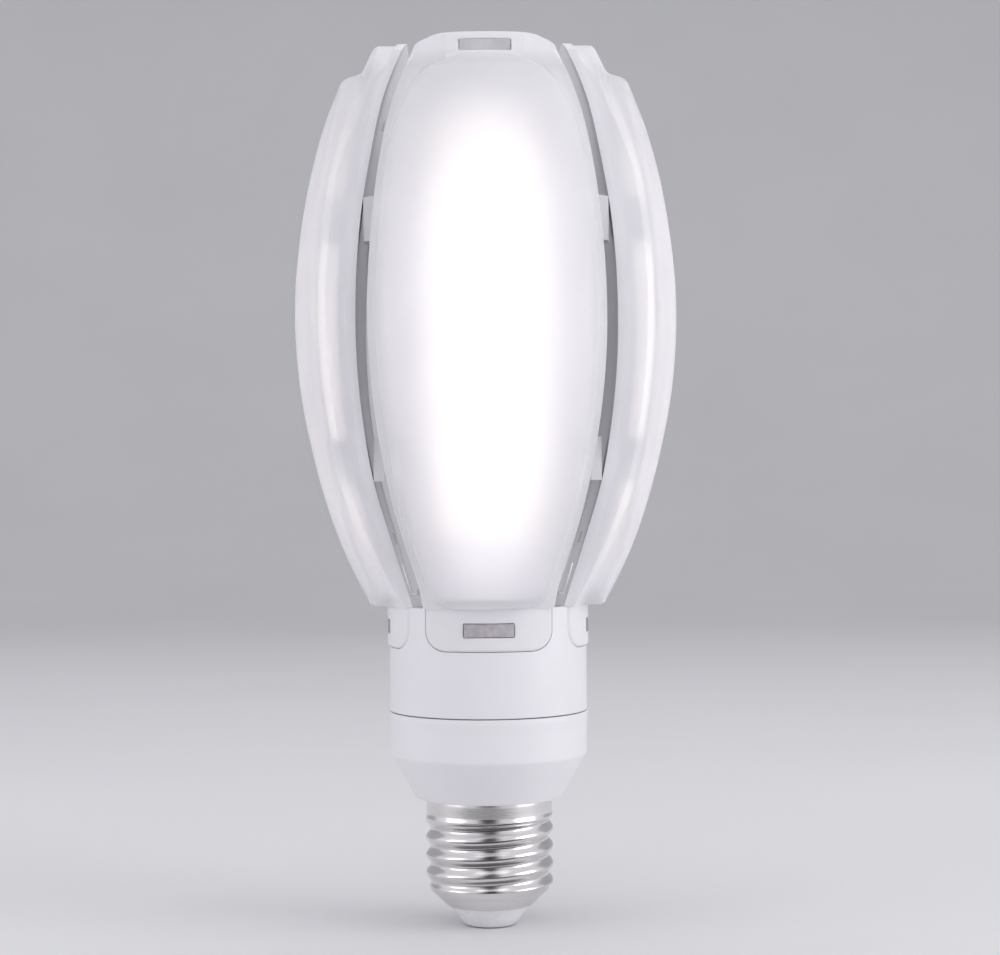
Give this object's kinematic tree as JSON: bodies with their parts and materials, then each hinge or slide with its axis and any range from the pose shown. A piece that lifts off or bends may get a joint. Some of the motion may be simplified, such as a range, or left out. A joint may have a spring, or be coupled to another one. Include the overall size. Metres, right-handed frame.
{
  "type": "led bulb",
  "caption": "Petal-shaped retrofit LED lamp with frosted glowing lenses round an open cooling channel, on an E27 screw cap.",
  "frame": {"origin": "tip of the cap's centre contact, on the lamp axis", "axes": "+Z along the lamp axis from the contact towards the free end, -Y out of the front petal, +X to the right seen from the front"},
  "size_m": [0.0782, 0.0782, 0.1793],
  "materials": {
    "frosted_lens": "satin",
    "petal_tray": "satin",
    "lamp_body": "satin",
    "board_aluminium": "satin",
    "led_phosphor": "gloss",
    "screw_steel": "satin",
    "clip_grey": "matte",
    "cap_nickel": "satin",
    "contact_metal": "satin",
    "cap_insulator": "gloss",
    "circuit_board": "satin",
    "ferrite": "matte",
    "winding_tape": "satin",
    "copper_wire": "gloss",
    "capacitor_sleeve": "gloss",
    "film_case": "satin",
    "black_epoxy": "matte",
    "resistor_body": "matte",
    "lead_insulation": "satin"
  },
  "bodies": {
    "root": {"board_screws": "screw_steel", "bridge_rectifier": "black_epoxy", "cap_insulator": "cap_insulator", "cap_shell": "cap_nickel", "choke_core": "ferrite", "choke_winding": "copper_wire", "contact_button": "contact_metal", "driver_board": "circuit_board", "driver_chip": "black_epoxy", "driver_housing": "lamp_body", "film_capacitor": "film_case", "foot_screws": "screw_steel", "fusible_resistor": "resistor_body", "input_capacitor": "capacitor_sleeve", "led_board_front": "board_aluminium", "led_board_left": "board_aluminium", "led_board_rear": "board_aluminium", "led_board_right": "board_aluminium", "led_chips_front": "led_phosphor", "led_chips_left": "led_phosphor", "led_chips_rear": "led_phosphor", "led_chips_right": "led_phosphor", "lens_front": "frosted_lens", "lens_left": "frosted_lens", "lens_rear": "frosted_lens", "lens_right": "frosted_lens", "live_lead": "lead_insulation", "lower_bridges": "petal_tray", "lower_lens_clips": "clip_grey", "neck_frame": "lamp_body", "neutral_lead": "lead_insulation", "output_capacitor": "capacitor_sleeve", "petal_leads": "lead_insulation", "transformer_core": "ferrite", "transformer_winding": "winding_tape", "tray_front": "petal_tray", "tray_left": "petal_tray", "tray_rear": "petal_tray", "tray_right": "petal_tray", "upper_bridges": "petal_tray", "upper_lens_clips": "clip_grey"}
  },
  "joints": []
}
